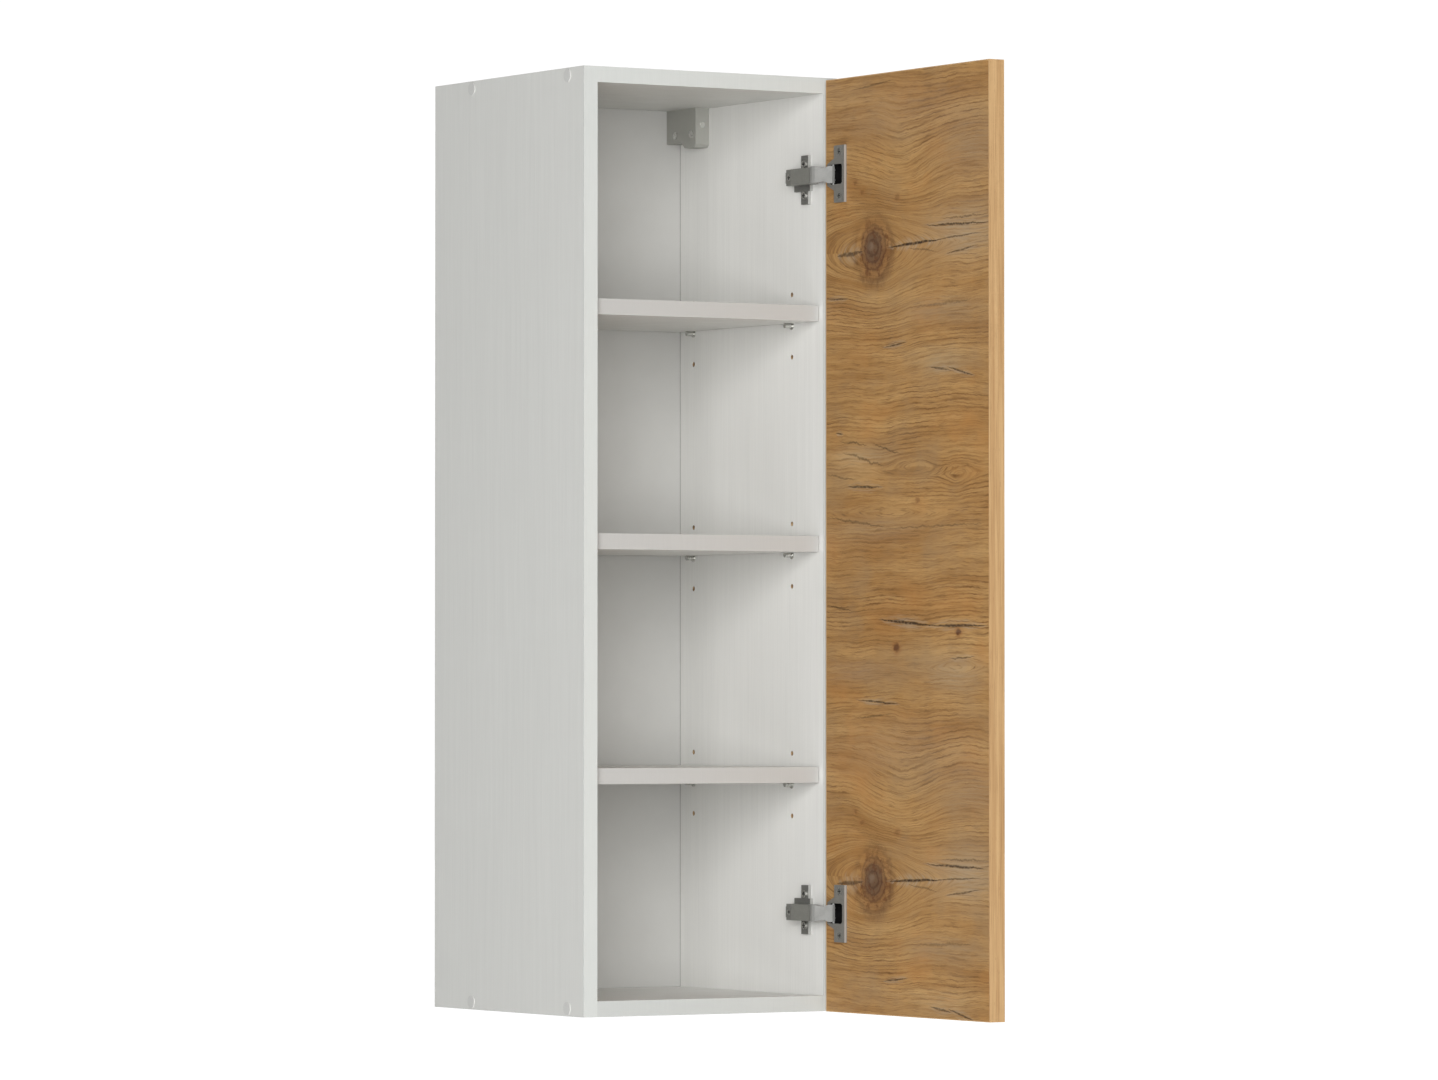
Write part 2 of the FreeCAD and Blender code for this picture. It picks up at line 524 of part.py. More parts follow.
def hinge_cup(prefix, z):
    """Cup under a screw flange whose nose covers the cup toward the door's edge, with a mouth for the arm."""
    board = Board(f"{prefix}_hinge_cup")
    start, end = "-dim.flange_edge", "-dim.flange_edge - dim.flange_width"
    cup, wing = ("-dim.cup_edge", 0), "dim.flange_height / 2"
    flange = board.sketch("YZ")
    board.rectangle(flange, (end, f"-{wing}"), (start, wing))
    board.pad(flange, "dim.flange_thickness", True)
    nose = board.sketch("YZ")
    tip = "dim.cup_radius - dim.cup_edge"
    board.polygon(nose, [(start, "-dim.nose_base / 2"), (tip, "-dim.nose_tip / 2"),
                         (tip, "dim.nose_tip / 2"), (start, "dim.nose_base / 2")])
    board.pad(nose, "dim.nose_thickness", True)
    bowl = board.sketch("YZ")
    board.circle(bowl, cup, "dim.cup_radius")
    board.pad(bowl, "dim.cup_depth")
    drill(board, "YZ", 0, [cup], "dim.cup_radius - dim.cup_wall", "dim.cup_depth - dim.cup_wall", True)
    mouth = board.sketch("YZ", "-dim.flange_thickness")
    near, far, corner = "-dim.mouth_start", "-dim.mouth_end", "dim.mouth_corner"
    half, throat = "dim.mouth_height / 2", "dim.nose_tip / 2 - 2 * dim.mouth_corner"
    board.polygon(mouth, [
        (near, f"-({throat})"), (near, throat), (f"{near} - 3 * {corner}", half),
        (f"{far} + {corner}", half), (far, f"{half} - {corner}"), (far, f"{corner} - {half}"),
        (f"{far} + {corner}", f"-{half}"), (f"{near} - 3 * {corner}", f"-{half}")])
    board.pocket(mouth, "dim.flange_thickness", True)
    screws = [("-dim.cup_screw_edge", f"{side} * dim.cup_screw_pitch / 2") for side in BOTH]
    drill(board, "YZ", 0, screws, "dim.cup_screw_radius", "dim.flange_thickness")
    drill(board, "YZ", "-dim.flange_thickness", screws, "dim.cup_screw_head",
          "dim.flange_thickness / 2", True)
    drill(board, "XY", "dim.cup_radius", [("dim.pivot_depth", "-dim.pivot_edge")],
          "dim.rivet_radius", "2 * dim.cup_radius")
    place(board.body, "own.door_x", "own.door_y", z)
    trimmed = doc.addObject("Part::Common", "trimmed")
    trimmed.Base = rod("own.door_x + dim.pivot_depth", "own.door_y - dim.pivot_edge",
                       f"{z} - dim.cup_radius", "+z", "dim.rivet_radius", "2 * dim.cup_radius")
    trimmed.Tool = rod("own.door_x", "own.door_y - dim.cup_edge", z, "+x", "dim.cup_radius",
                       "dim.cup_depth")
    node(trimmed, f"{prefix}_hinge_cup_pin")
    face = "own.door_x - dim.flange_thickness"
    at = "own.door_y - dim.cup_screw_edge"
    spots = [f"{z} + {side} * dim.cup_screw_pitch / 2" for side in BOTH]
    node(group(*(fuse(rod(face, at, spot, "+x", "dim.cup_screw_head", "dim.flange_thickness / 2"),
                      rod(face, at, spot, "+x", "dim.cup_screw_radius", "dim.cup_screw_length"))
                 for spot in spots)), f"{prefix}_hinge_cup_screws")


def hinge_fasteners(prefix, z, z_plate):
    """Plate screws, adjusting screws, pivot rivets and the arm's cover."""
    face = "own.inner - dim.wing_thickness"
    plate_spots = [f"{z_plate} + {side} * dim.plate_screw_pitch / 2" for side in BOTH]
    node(group(*(fuse(rod(face, PLATE_SCREW_ROW, spot, "-x", "dim.plate_screw_head",
                          "dim.plate_screw_radius"),
                      rod(face, PLATE_SCREW_ROW, spot, "+x", "dim.plate_screw_radius",
                          "dim.plate_screw_length"))
                 for spot in plate_spots)), f"{prefix}_hinge_plate_screws")
    web = "own.inner - dim.arm_standoff"
    node(group(*(fuse(rod(web, f"own.front + {y}", z, "+x", "dim.adjuster_head", "dim.arm_sheet"),
                      rod(web, f"own.front + {y}", z, "+x", "dim.adjuster_shank",
                          "dim.arm_sheet + dim.adjuster_length"))
                 for y in ADJUSTERS)), f"{prefix}_hinge_adjusting_screws")
    low = f"{z} - dim.arm_width / 2"
    node(group(rod("own.pivot_x", "own.front - dim.pivot_forward", low, "+z", "dim.rivet_radius",
                   "dim.arm_width"),
               rod("own.inner - dim.rear_pivot_inset", "own.front + dim.rear_pivot_back", low, "+z",
                   "dim.rivet_radius", "dim.arm_width")), f"{prefix}_hinge_arm_pins")
    node(block(f"{web} - dim.cover_thickness", "own.front + dim.cover_front", low,
               "dim.cover_thickness", "dim.cover_rear - dim.cover_front", "dim.arm_width"),
         f"{prefix}_hinge_arm_cover")


for prefix, (height, inward) in HINGES.items():
    z_plate = plate_height(prefix)
    mounting_plate(prefix, z_plate, f"{-inward} * dim.plate_shift")
    hinge_arm(prefix, height)
    outer_link(prefix, height)
    inner_link(prefix, height)
    hinge_cup(prefix, height)
    hinge_fasteners(prefix, height, z_plate)


# ---------------------------------------------------------------- hangers in the top corners
# own frame: X = 0 at the side's inner face, Y = 0 at the back panel, Z = 0 under the top panel
HOOK_REAR = "-dim.hanger_depth * 0.75"
HOOK_RISE = 3


def hanger(prefix, side):
    """Hollow housing open at the rear, the hook that slides in it and the screw that lifts the hook."""
    housing = Board(f"{prefix}_hanger_housing")
    wall_side = "-dim.hanger_width" if side > 0 else 0
    low = "-dim.hanger_height"
    front = "-dim.hanger_depth"
    outline = housing.sketch("YZ", wall_side)
    housing.polygon(outline, [
        (front, 0), (front, f"{low} - dim.boss_drop / 2"),
        (f"{front} + dim.boss_drop / 2", f"{low} - dim.boss_drop"),
        (f"{front} + dim.boss_depth - dim.boss_drop", f"{low} - dim.boss_drop"),
        (f"{front} + dim.boss_depth", low), (0, low), (0, 0)])
    housing.pad(outline, "dim.hanger_width")
    near, far = "dim.hanger_wall", "dim.hanger_width - dim.hanger_wall"
    edges = (f"-({far})", f"-{near}") if side > 0 else (near, far)
    hollow = housing.sketch("XZ")
    housing.rectangle(hollow, (edges[0], f"{low} + dim.hanger_wall"), (edges[1], "-dim.hanger_wall"))
    housing.pocket(hollow, "dim.hanger_depth - 2 * dim.hanger_wall", True)
    middle = f"{side} * dim.hanger_width / 2"
    drill(housing, "XZ", "dim.hanger_depth", [(f"-({middle})", "-dim.hanger_height / 2")],
          "dim.adjuster_radius", "2 * dim.hanger_wall")
    rows = [f"{front} + dim.hanger_screw_front", f"{front} + dim.hanger_screw_front + dim.hanger_screw_pitch"]
    drill(housing, "YZ", 0, [(y, f"{low} + dim.hanger_screw_front") for y in rows],
          "dim.hanger_screw_radius", "dim.hanger_width", side < 0)
    place(housing.body, f"{side} * own.inner", "own.back_front", "dim.height - dim.board")

    centre = f"{side} * (own.inner - dim.hanger_width / 2)"
    hook = Board(f"{prefix}_hanger_hook")
    top = f"-dim.hanger_height / 2 + dim.hook_bar / 2 + {HOOK_RISE}"
    tip = "dim.back_board + dim.back_recess - dim.hook_gap"
    outline = hook.sketch("YZ", "-dim.hook_sheet / 2")
    hook.polygon(outline, [
        (HOOK_REAR, top), (HOOK_REAR, f"{top} - dim.hook_bar"),
        (f"{tip} - dim.hook_sheet", f"{top} - dim.hook_bar"),
        (f"{tip} - dim.hook_sheet", f"{top} - dim.hook_lip"), (tip, f"{top} - dim.hook_lip"), (tip, top)])
    hook.pad(outline, "dim.hook_sheet")
    place(hook.body, centre, "own.back_front", "dim.height - dim.board")
    node(rod(centre, "own.back_front - dim.hanger_depth", "dim.height - dim.board - dim.hanger_height / 2",
             "+y", "dim.adjuster_radius - dim.running_play", "dim.hanger_depth / 5"),
         f"{prefix}_hanger_adjuster")


for prefix, side in (("left", -1), ("right", 1)):
    hanger(prefix, side)


def hanger_screw(side, y):
    """Runs through the housing into the side; its head is on the housing's inner face."""
    x, towards = (f"{side} * (own.inner - dim.hanger_width)", "+x" if side > 0 else "-x")
    back = "-x" if side > 0 else "+x"
    return fuse(rod(x, y, HANGER_SCREW_HEIGHT, back, "2 * dim.hanger_screw_radius",
                    "dim.hanger_screw_radius / 2"),
                rod(x, y, HANGER_SCREW_HEIGHT, towards, "dim.hanger_screw_radius",
                    f"dim.hanger_width + dim.hanger_screw_length - {END_SLACK}"))


node(group(*(hanger_screw(side, y) for side in BOTH for y in HANGER_SCREW_ROWS)), "hanger_screws")

# ---------------------------------------------------------------- checks and export
doc.recompute()
for item in doc.Objects:
    if {"Invalid", "Error"} & set(item.State):
        raise RuntimeError(f"{item.Name} ({item.Label}) failed: {item.State}")
for label, item in NODES.items():
    if item.Shape.isNull() or not item.Shape.isValid() or not item.Shape.Solids:
        raise RuntimeError(f"{label} has no valid solid")
os.makedirs("parts", exist_ok=True)
for label, item in NODES.items():
    item.Shape.exportStep(f"parts/{label}.step")
print(f"{len(NODES)} nodes, {sum(len(item.Shape.Solids) for item in NODES.values())} solids")
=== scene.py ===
"""Looks of the hanging wall cabinet: materials for the CAD nodes, small details, studio and camera."""
import math

import bmesh
import bpy
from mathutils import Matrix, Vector


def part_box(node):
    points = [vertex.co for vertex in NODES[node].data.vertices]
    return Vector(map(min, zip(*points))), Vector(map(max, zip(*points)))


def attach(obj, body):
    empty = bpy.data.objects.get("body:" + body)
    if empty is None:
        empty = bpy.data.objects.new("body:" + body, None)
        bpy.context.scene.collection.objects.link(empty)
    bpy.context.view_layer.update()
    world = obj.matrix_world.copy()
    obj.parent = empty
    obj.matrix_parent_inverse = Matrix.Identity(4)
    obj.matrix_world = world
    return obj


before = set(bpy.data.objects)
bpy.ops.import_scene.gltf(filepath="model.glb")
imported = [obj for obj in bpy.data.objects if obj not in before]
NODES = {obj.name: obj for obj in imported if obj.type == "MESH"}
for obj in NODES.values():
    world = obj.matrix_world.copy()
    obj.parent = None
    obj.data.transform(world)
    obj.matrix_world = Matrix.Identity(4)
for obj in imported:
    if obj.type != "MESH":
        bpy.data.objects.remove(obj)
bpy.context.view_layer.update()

# ---------------------------------------------------------------- camera
CAMERA_AT = (-3.8774, -6.558, 0.3202)
CAMERA_YAW = 31.84
CAMERA_PITCH = 1.224
LENS = 182.9


def make_camera():
    data = bpy.data.cameras.new("camera")
    data.lens = LENS
    data.clip_end = 200
    item = bpy.data.objects.new("camera", data)
    item.location = CAMERA_AT
    item.rotation_euler = (math.radians(90 + CAMERA_PITCH), 0, math.radians(-CAMERA_YAW))
    bpy.context.collection.objects.link(item)
    bpy.context.scene.camera = item


# ---------------------------------------------------------------- node helpers
class Nodes:
    """Short ways to build one material's node tree."""

    def __init__(self, name):
        self.material = bpy.data.materials.new(name)
        self.material.use_nodes = True
        self.tree = self.material.node_tree
        self.shader = self.tree.nodes["Principled BSDF"]

    def add(self, kind, **settings):
        item = self.tree.nodes.new(kind)
        for key, setting in settings.items():
            setattr(item, key, setting)
        return item

    def link(self, source, target):
        if isinstance(source, (int, float)):
            target.default_value = source
        elif isinstance(source, tuple):
            opaque = len(source) == 3 and target.type != "VECTOR"
            target.default_value = (*source, 1) if opaque else source
        else:
            self.tree.links.new(source, target)

    def math(self, operation, a, b=0.0, c=None):
        item = self.add("ShaderNodeMath", operation=operation)
        for socket, source in zip(item.inputs, (a, b) if c is None else (a, b, c)):
            self.link(source, socket)
        return item.outputs[0]

    def place(self):
        return self.add("ShaderNodeTexCoord").outputs["Object"]

    def parts(self, vector):
        item = self.add("ShaderNodeSeparateXYZ")
        self.link(vector, item.inputs[0])
        return item.outputs[:]

    def join(self, x, y, z):
        item = self.add("ShaderNodeCombineXYZ")
        for socket, source in zip(item.inputs, (x, y, z)):
            self.link(source, socket)
        return item.outputs[0]

    def noise(self, vector, scale, detail=4.0, roughness=0.55):
        item = self.add("ShaderNodeTexNoise")
        self.link(vector, item.inputs["Vector"])
        item.inputs["Scale"].default_value = scale
        item.inputs["Detail"].default_value = detail
        item.inputs["Roughness"].default_value = roughness
        return item.outputs["Fac"]

    def stretch(self, vector, factors):
        item = self.add("ShaderNodeVectorMath", operation="MULTIPLY")
        self.link(vector, item.inputs[0])
        item.inputs[1].default_value = factors
        return item.outputs[0]

    def ramp(self, factor, stops):
        item = self.add("ShaderNodeValToRGB")
        elements = item.color_ramp.elements
        while len(elements) < len(stops):
            elements.new(0.5)
        for element, (position, colour) in zip(elements, stops):
            element.position = position
            element.color = (*colour, 1) if isinstance(colour, tuple) else (colour,) * 3 + (1,)
        self.link(factor, item.inputs[0])
        return item.outputs[0]

    def mix(self, factor, a, b, blend="MIX"):
        item = self.add("ShaderNodeMix", data_type="RGBA", blend_type=blend)
        self.link(factor, item.inputs[0])
        self.link(a, item.inputs[6])
        self.link(b, item.inputs[7])
        return item.outputs[2]

    def remap(self, factor, low, high, to_low=0.0, to_high=1.0):
        item = self.add("ShaderNodeMapRange")
        item.clamp = True
        for socket, source in zip(item.inputs, (factor, low, high, to_low, to_high)):
            self.link(source, socket)
        return item.outputs[0]

    def bump(self, height, strength, distance):
        item = self.add("ShaderNodeBump")
        item.inputs["Strength"].default_value = strength
        item.inputs["Distance"].default_value = distance
        self.link(height, item.inputs["Height"])
        self.link(item.outputs[0], self.shader.inputs["Normal"])

    def colour(self, source):
        self.link(source, self.shader.inputs["Base Color"])

    def rough(self, source):
        self.link(source, self.shader.inputs["Roughness"])


# ---------------------------------------------------------------- sizes read from the frame, metres
def low(node):
    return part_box(node)[0]


def high(node):
    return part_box(node)[1]


SIDE = (low("right_side_panel").x, high("right_side_panel").x)
DOOR_FACE = low("door_panel").x
HINGE_EDGE = high("door_hinged_edge_band").y
BACK_FACE = low("back_panel").y
SKIN = 0.0003
GROOVE_GAP = 0.0008


# ---------------------------------------------------------------- boards
def chipboard(nodes, place):
    """Pressed flakes of a raw board edge."""
    cells = nodes.add("ShaderNodeTexVoronoi")
    nodes.link(place, cells.inputs["Vector"])
    cells.inputs["Scale"].default_value = 620
    flakes = nodes.add("ShaderNodeSeparateColor")
    nodes.link(cells.outputs["Color"], flakes.inputs[0])
    return nodes.ramp(flakes.outputs[0], [(0.0, (0.16, 0.095, 0.045)), (0.5, (0.36, 0.235, 0.12)),
                                          (1.0, (0.52, 0.37, 0.21))])


def between(nodes, value, start, end):
    """One inside the range, zero outside it."""
    above = nodes.math("GREATER_THAN", value, start)
    return nodes.math("MULTIPLY", above, nodes.math("LESS_THAN", value, end))


def largest(nodes, masks):
    total = masks[0]
    for mask in masks[1:]:
        total = nodes.math("MAXIMUM", total, mask)
    return total


def melamine(name, colour, core_axis, layers, inner=None):
    """White decor with a faint grain, upright on the sides and crosswise on level boards. Raw chipboard shows
    inside the board's thickness. Between the inner limits, a painted shadow line marks the gap where the
    back panel enters its groove."""
    nodes = Nodes(name)
    place = nodes.place()
    upright = core_axis == "X"
    fine = nodes.noise(nodes.stretch(place, (900, 900, 11) if upright else (11, 900, 900)), 1, 3)
    broad = nodes.noise(nodes.stretch(place, (160, 160, 4) if upright else (4, 160, 160)), 1, 4, 0.6)
    grain = nodes.math("ADD", nodes.math("MULTIPLY", fine, 0.55), nodes.math("MULTIPLY", broad, 0.45))
    shade = nodes.remap(grain, 0.35, 0.65, 0.955, 1.02)
    scuff = nodes.noise(place, 9, 5, 0.6)
    face = nodes.mix(1.0, colour, nodes.join(shade, shade, shade), "MULTIPLY")
    face = nodes.mix(nodes.remap(scuff, 0.55, 0.8, 0, 0.05), face, (0.62, 0.60, 0.55))
    rough = nodes.remap(nodes.noise(place, 30, 4), 0.3, 0.7, 0.36, 0.50)
    axis = nodes.parts(place)["XYZ".index(core_axis)]
    if core_axis == "X":
        axis = nodes.math("ABSOLUTE", axis)
    core = largest(nodes, [between(nodes, axis, start + SKIN, end - SKIN) for start, end in layers])
    face = nodes.mix(core, face, chipboard(nodes, place))
    rough = nodes.math("MAXIMUM", rough, nodes.math("MULTIPLY", core, 0.9))
    if inner:
        # painted shadow: a dark line on the board where the back panel enters its groove
        groove_shadow = between(nodes, nodes.parts(place)[1], BACK_FACE - GROOVE_GAP, BACK_FACE + SKIN / 3)
        groove_shadow = nodes.math("MULTIPLY", groove_shadow, between(nodes, axis, inner[0] - SKIN, inner[1] + SKIN))
        face = nodes.mix(nodes.math("MULTIPLY", groove_shadow, 0.8), face, (0.09, 0.09, 0.08))
    nodes.colour(face)
    nodes.rough(rough)
    nodes.bump(grain, 0.12, 0.0004)
    return nodes.material


def banding(name, colour):
    """Thin plastic edging: fine lengthwise brushing and a slight waviness."""
    nodes = Nodes(name)
    place = nodes.place()
    streak = nodes.noise(nodes.stretch(place, (1500, 1500, 24)), 1, 3)
    tone = nodes.remap(streak, 0.3, 0.7, 0.965, 1.015)
    nodes.colour(nodes.mix(1.0, colour, nodes.join(tone, tone, tone), "MULTIPLY"))
    nodes.rough(nodes.remap(nodes.noise(place, 60, 3), 0.3, 0.7, 0.37, 0.49))
    nodes.bump(streak, 0.08, 0.0003)
    return nodes.material


def hardboard(name):
    """Thin back panel: painted white in front, brown pressed fibre behind."""
    nodes = Nodes(name)
    place = nodes.place()
    fibre = nodes.noise(place, 1400, 5, 0.7)
    mottle = nodes.noise(place, 18, 5, 0.6)
    white = nodes.ramp(mottle, [(0.3, (0.49, 0.487, 0.468)), (0.7, (0.515, 0.512, 0.493))])
    brown = nodes.mix(mottle, (0.20, 0.115, 0.06), (0.29, 0.18, 0.10))
    brown = nodes.mix(nodes.remap(fibre, 0.4, 0.65, 0, 0.6), brown, (0.13, 0.075, 0.04))
    behind = nodes.math("GREATER_THAN", nodes.parts(place)[1], BACK_FACE + SKIN)
    nodes.colour(nodes.mix(behind, white, brown))
    satin = nodes.remap(fibre, 0.3, 0.7, 0.42, 0.55)
    nodes.rough(nodes.math("ADD", satin, nodes.math("MULTIPLY", behind, 0.3)))
    nodes.bump(fibre, 0.15, 0.0003)
    return nodes.material


# ---------------------------------------------------------------- oak decor of the door
# The decor repeats up the door. Places are (distance from the hinge edge, height), metres.
REPEAT = 0.636
SEAM = 0.311
MAIN_KNOT = (0.088, 0.772)
BOWL = (0.132, 0.846)
STRONG_CRACK = 0.65
CLOUD_DEPTH = 0.82
# cracks: start, end, half thickness, wobble, darkness
CRACKS = [
    ((0.020, 0.766), (0.070, 0.769), 0.0022, 0.003, 0.75),
    ((0.112, 0.7705), (0.215, 0.7740), 0.0014, 0.002, 1.0),
    ((0.195, 0.7735), (0.285, 0.7775), 0.0008, 0.002, 0.7),
    ((0.150, 0.768), (0.205, 0.7625), 0.0010, 0.003, 0.45),
    ((0.218, 0.7585), (0.280, 0.7655), 0.0010, 0.002, 0.7),
    ((0.180, 0.789), (0.297, 0.7865), 0.0012, 0.003, 0.85),
    ((0.210, 0.794), (0.297, 0.7950), 0.0010, 0.004, 0.5),
    ((0.000, 0.723), (0.045, 0.7225), 0.0008, 0.001, 0.8),
    ((0.105, 0.670), (0.152, 0.6745), 0.0009, 0.001, 0.8),
    ((0.165, 0.708), (0.270, 0.7120), 0.0016, 0.005, 0.35),
    ((0.190, 0.648), (0.230, 0.6430), 0.0012, 0.003, 0.7),
    ((0.222, 0.647), (0.272, 0.6360), 0.0010, 0.002, 0.8),
    ((0.035, 0.532), (0.108, 0.5300), 0.0012, 0.002, 0.85),
    ((0.030, 0.568), (0.110, 0.5500), 0.0014, 0.007, 0.55),
    ((0.098, 0.3975), (0.200, 0.3900), 0.0015, 0.002, 0.95),
    ((0.180, 0.3905), (0.297, 0.3895), 0.0013, 0.002, 0.9),
    ((0.000, 0.413), (0.050, 0.4060), 0.0010, 0.002, 0.6),
    ((0.225, 0.357), (0.272, 0.3590), 0.0008, 0.003, 0.7),
    ((0.055, 0.3165), (0.138, 0.3120), 0.0010, 0.002, 0.85),
    ((0.018, 0.5870), (0.033, 0.5855), 0.0008, 0.001, 0.9),
    ((0.025, 0.5790), (0.080, 0.5720), 0.0009, 0.006, 0.6),
    ((0.085, 0.5745), (0.140, 0.5620), 0.0009, 0.007, 0.6),
    ((0.000, 0.5450), (0.060, 0.5380), 0.0010, 0.004, 0.5),
    ((0.000, 0.5020), (0.110, 0.4900), 0.0012, 0.004, 0.5),
    ((0.100, 0.4880), (0.297, 0.4905), 0.0009, 0.004, 0.45),
    ((0.050, 0.9330), (0.125, 0.9390), 0.0010, 0.002, 0.5),
]
# small knots: place, radii along and up the door, strength
KNOTS = [((0.242, 0.3835), 0.006, 0.0045, 0.9), ((0.130, 0.3685), 0.007, 0.006, 0.8),
         ((0.055, 0.8395), 0.004, 0.003, 0.35), ((0.067, 0.8290), 0.005, 0.003, 0.35),
         ((0.132, 0.820), 0.006, 0.005, 0.3), ((0.168, 0.515), 0.006, 0.004, 0.4)]
# ring figures: centre, half length, half height
OVALS = [((0.242, 0.541), 0.026, 0.010), ((0.236, 0.349), 0.034, 0.008), ((0.110, 0.505), 0.075, 0.008),
         ((0.165, 0.548), 0.045, 0.009)]
# light or grey clouds: centre, half length, half height, colour before CLOUD_DEPTH, strength
CLOUDS = [((0.060, 0.562), 0.045, 0.010, (0.62, 0.45, 0.25), 0.7),
          ((0.050, 0.545), 0.050, 0.008, (0.62, 0.40, 0.18), 0.7),
          ((0.100, 0.566), 0.040, 0.010, (0.29, 0.20, 0.12), 0.5),
          ((0.255, 0.780), 0.070, 0.028, (0.47, 0.36, 0.23), 0.7),
          ((0.265, 0.860), 0.060, 0.030, (0.40, 0.29, 0.18), 0.55),
          ((0.215, 0.705), 0.070, 0.014, (0.36, 0.27, 0.17), 0.6),
          ((0.215, 0.652), 0.050, 0.014, (0.50, 0.38, 0.22), 0.5),
          ((0.060, 0.345), 0.060, 0.012, (0.33, 0.22, 0.14), 0.6),
          ((0.235, 0.344), 0.050, 0.020, (0.44, 0.35, 0.23), 0.6),
          ((0.090, 0.490), 0.090, 0.012, (0.33, 0.22, 0.13), 0.6),
          ((0.150, 0.905), 0.150, 0.030, (0.42, 0.27, 0.15), 0.5)]


def hump(nodes, s, z, centre, half_s, half_z):
    """A smooth round bump: one at the centre, fading out past the half sizes."""
    across = nodes.math("DIVIDE", nodes.math("SUBTRACT", s, centre[0]), half_s)
    up = nodes.math("DIVIDE", nodes.math("SUBTRACT", z, centre[1]), half_z)
    square = nodes.math("ADD", nodes.math("MULTIPLY", across, across), nodes.math("MULTIPLY", up, up))
    return nodes.math("EXPONENT", nodes.math("MULTIPLY", square, -1.0))


def bulge(nodes, s, z, centre, half_s, half_z):
    """How far the grain is pushed aside to run round a knot or an oval."""
    across = nodes.math("DIVIDE", nodes.math("SUBTRACT", s, centre[0]), half_s)
    swell = nodes.math("MULTIPLY", nodes.math("EXPONENT", nodes.math(
        "MULTIPLY", nodes.math("MULTIPLY", across, across), -1.0)), half_z * half_z)
    up = nodes.math("SUBTRACT", z, centre[1])
    rest = nodes.math("SUBTRACT", nodes.math("MULTIPLY", up, up), swell)
    root = nodes.math("SQRT", nodes.math("ABSOLUTE", rest))
    reach = nodes.math("MULTIPLY", root, nodes.math("SIGN", rest))
    pushed = nodes.math("SUBTRACT", reach, nodes.math("ABSOLUTE", up))
    return nodes.math("MULTIPLY", pushed, nodes.math("SIGN", up))


def crack(nodes, s, z, wander, start, end, half, wobble, darkness):
    slope = (end[1] - start[1]) / (end[0] - start[0])
    line = nodes.math("MULTIPLY_ADD", s, slope, start[1] - slope * start[0])
    line = nodes.math("ADD", line, nodes.math("MULTIPLY", wander, 2 * wobble))
    gap = nodes.math("ABSOLUTE", nodes.math("SUBTRACT", z, line))
    middle, reach = (start[0] + end[0]) / 2, (end[0] - start[0]) / 2
    along = nodes.math("DIVIDE", nodes.math("ABSOLUTE", nodes.math("SUBTRACT", s, middle)), reach)
    width = nodes.remap(along, 0.3, 1.0, half, half * 0.1)
    core = nodes.remap(nodes.math("DIVIDE", gap, width), 0.55, 1.35, darkness, 0)
    return nodes.math("MULTIPLY", core, nodes.remap(along, 0.85, 1.05, 1, 0))


def streaks(nodes, s, along, layer, up_place, up, detail, roughness):
    """Noise stretched along the door, with its own scales along and up; each layer is a different pattern."""
    where = nodes.join(nodes.math("MULTIPLY", s, along), layer, nodes.math("MULTIPLY", up_place, up))
    return nodes.noise(where, 1, detail, roughness)


def grain_flow(nodes, s, height, folded):
    """Height of the grain line through each point: waves, ripples and jitter, parted by the knots."""
    waves = [(streaks(nodes, s, 7, 0, height, 11, 2, 0.5), 0.016),
             (streaks(nodes, s, 26, 3, height, 30, 2, 0.5), 0.0036),
             (streaks(nodes, s, 130, 7, height, 170, 3, 0.6), 0.0026)]
    z = folded
    for wave, swing in waves:
        z = nodes.math("ADD", z, nodes.math("MULTIPLY_ADD", wave, swing, -swing / 2))
    bowl = nodes.math("MULTIPLY", hump(nodes, s, folded, BOWL, 0.070, 0.060), 0.026)
    flow = nodes.math("ADD", z, bowl)
    for centre, half_s, half_z in [(MAIN_KNOT, 0.075, 0.036), *OVALS]:
        flow = nodes.math("ADD", flow, bulge(nodes, s, z, centre, half_s, half_z))
    return flow


def growth_rings(nodes, bands, flow, lines, pores):
    """Broad bands, sharp dark lines and fine pores, all following the flow."""
    broad = bands(5, 34, 0, 3, 0.5)
    rings = bands(5, 120, 5, 3, 0.55)
    tone = nodes.ramp(broad, [(0.32, (0.335, 0.172, 0.055)), (0.5, (0.415, 0.232, 0.083)),
                              (0.68, (0.490, 0.292, 0.112))])
    tone = nodes.mix(nodes.remap(rings, 0.50, 0.66, 0, 0.4), tone, (0.25, 0.118, 0.036))
    tone = nodes.mix(nodes.remap(rings, 0.32, 0.44, 0.4, 0), tone, (0.50, 0.305, 0.125))
    # close parallel growth lines whose spacing and strength drift
    drifted = nodes.math("MULTIPLY_ADD", bands(3, 60, 25, 2, 0.5), 18.0, nodes.math("MULTIPLY", flow, 1250))
    wave = nodes.math("MULTIPLY_ADD", nodes.math("SINE", drifted), 0.5, 0.5)
    present = nodes.remap(bands(4, 16, 31, 2, 0.5), 0.42, 0.60, 0.15, 1.0)
    broken = nodes.remap(bands(40, 260, 41, 3, 0.6), 0.35, 0.6, 0.15, 1.0)
    growth = nodes.math("MULTIPLY", nodes.math("POWER", wave, 5.0), present)
    growth = nodes.math("MULTIPLY", growth, broken)
    tone = nodes.mix(nodes.math("MULTIPLY", growth, 0.95), tone, (0.130, 0.054, 0.016))
    tone = nodes.mix(nodes.remap(lines, 0.52, 0.66, 0, 0.65), tone, (0.20, 0.096, 0.032))
    return nodes.mix(nodes.remap(pores, 0.52, 0.66, 0, 0.65), tone, (0.15, 0.073, 0.028))


